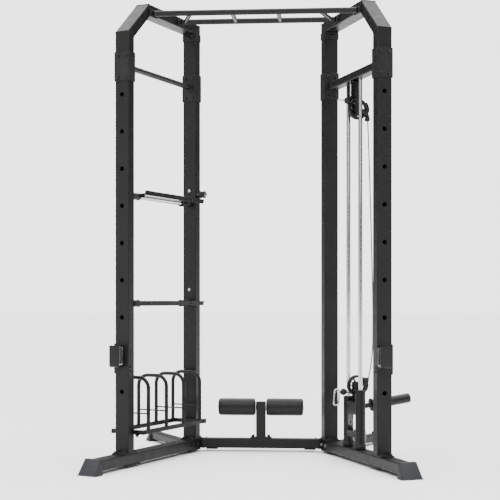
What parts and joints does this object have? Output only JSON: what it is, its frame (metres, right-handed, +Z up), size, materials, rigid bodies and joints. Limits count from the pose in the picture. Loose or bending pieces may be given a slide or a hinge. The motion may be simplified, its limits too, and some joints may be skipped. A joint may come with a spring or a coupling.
{
  "type": "power cage",
  "caption": "Open-front power cage with splayed sides, pull-up ladder, hooks, spotter bars, plate rack, foam roller stand and a plate-loaded pulley station.",
  "frame": {"origin": "on the floor, at the middle of the footprint", "axes": "+Z up; the cage opens towards -Y; +X to the pulley station's side"},
  "size_m": [1.5496, 1.3846, 2.222],
  "materials": {
    "black_steel": "black powder coat, satin",
    "boot": "dark grey moulded, matte",
    "chrome": "polished",
    "foam": "black vinyl over foam, satin",
    "rubber": "matte",
    "pulley_plastic": "semi-gloss nylon",
    "cable": "nylon-coated steel rope"
  },
  "bodies": {
    "frame": {"left_base_rail": "black_steel", "right_base_rail": "black_steel", "left_front_foot": "boot", "right_front_foot": "boot", "left_rear_leg": "black_steel", "right_rear_leg": "black_steel", "left_rear_foot": "boot", "right_rear_foot": "boot", "left_front_upright": "black_steel", "right_front_upright": "black_steel", "left_rear_upright": "black_steel", "right_rear_upright": "black_steel", "left_top_frame": "black_steel", "right_top_frame": "black_steel", "left_front_collar": "black_steel", "right_front_collar": "black_steel", "left_rear_collar": "black_steel", "right_rear_collar": "black_steel", "left_straight_strut": "black_steel", "right_straight_strut": "black_steel", "left_angled_strut": "black_steel", "right_angled_strut": "black_steel", "rear_crossmember": "black_steel", "front_pull_up_bar": "black_steel", "rear_pull_up_bar": "black_steel", "left_grip_bar": "black_steel", "rack_base": "black_steel", "plate_hoop_1": "black_steel", "plate_hoop_2": "black_steel", "plate_hoop_3": "black_steel", "plate_hoop_4": "black_steel", "pulley_beam": "black_steel", "front_guide_rod": "chrome", "rear_guide_rod": "chrome", "front_bumper": "rubber", "rear_bumper": "rubber", "upper_pulley_bracket": "black_steel", "cable_stop_bracket": "black_steel", "pulley_cable": "cable", "upper_ball_stop": "rubber", "upper_cable_eye": "chrome", "roller_post": "black_steel", "roller_axle": "chrome"},
    "carriage": {"plate_carriage": "black_steel", "loading_peg": "black_steel", "lower_pulley_bracket": "black_steel", "lower_ball_stop": "rubber"},
    "upper_wheel": {"upper_pulley_wheel": "pulley_plastic"},
    "lower_wheel": {"lower_pulley_wheel": "pulley_plastic"},
    "lower_hook": {"lower_carabiner": "chrome"},
    "lower_gate": {"lower_carabiner_gate": "chrome"},
    "left_roller": {"left_foam_roller": "foam"},
    "right_roller": {"right_foam_roller": "foam"},
    "left_cup": {"left_j_cup": "black_steel"},
    "right_cup": {"right_j_cup": "black_steel"},
    "upper_spotter": {"upper_spotter_tube": "chrome", "upper_spotter_guard": "black_steel"},
    "lower_spotter": {"lower_spotter_tube": "chrome", "lower_spotter_guard": "black_steel"},
    "pull_pin": {"spotter_pull_pin": "black_steel"}
  },
  "joints": [
    {"name": "carriage_lift", "type": "slide", "parent": "frame", "child": "carriage", "axis": [0, 0, 1], "range_m": [0, 1.2], "deforming": ["pulley_cable"]},
    {"name": "upper_wheel_spin", "type": "hinge", "parent": "frame", "child": "upper_wheel", "pos_m": [0.49884, -0.0807, 1.729], "axis": [0.3876, -0.9218, 0], "continuous": true},
    {"name": "lower_wheel_spin", "type": "hinge", "parent": "carriage", "child": "lower_wheel", "pos_m": [0.49451, -0.08252, 0.372], "axis": [0.3876, -0.9218, 0], "continuous": true},
    {"name": "lower_hook_swing", "type": "hinge", "parent": "carriage", "child": "lower_hook", "pos_m": [0.39652, -0.12373, 0.354], "axis": [-0.3876, 0.9218, 0], "range_deg": [-4, 90]},
    {"name": "lower_gate_open", "type": "hinge", "parent": "lower_hook", "child": "lower_gate", "pos_m": [0.3831, -0.12937, 0.3351], "axis": [0.3876, -0.9218, 0], "range_deg": [0, 24], "stiffness_Nm_per_rad": 0.2},
    {"name": "left_roller_spin", "type": "hinge", "parent": "frame", "child": "left_roller", "pos_m": [0, 0.2538, 0.23], "axis": [1, 0, 0], "continuous": true},
    {"name": "right_roller_spin", "type": "hinge", "parent": "frame", "child": "right_roller", "pos_m": [0, 0.2538, 0.23], "axis": [1, 0, 0], "continuous": true},
    {"name": "left_cup_pull", "type": "slide", "parent": "frame", "child": "left_cup", "axis": [-0.3876, -0.9218, 0], "range_m": [0, 0.05]},
    {"name": "right_cup_pull", "type": "slide", "parent": "frame", "child": "right_cup", "axis": [0.3876, -0.9218, 0], "range_m": [0, 0.05]},
    {"name": "upper_spotter_pull", "type": "slide", "parent": "frame", "child": "upper_spotter", "axis": [0.9218, -0.3876, 0], "range_m": [0, 0.07]},
    {"name": "lower_spotter_pull", "type": "slide", "parent": "frame", "child": "lower_spotter", "axis": [0.9218, -0.3876, 0], "range_m": [0, 0.07]},
    {"name": "pin_pull", "type": "slide", "parent": "frame", "child": "pull_pin", "axis": [0.9218, -0.3876, 0], "range_m": [0, 0.012], "stiffness_N_per_m": 400}
  ],
  "couplings": [
    {"joint": "upper_wheel_spin", "follows": "carriage_lift", "rad_per_m": 20.576}
  ]
}
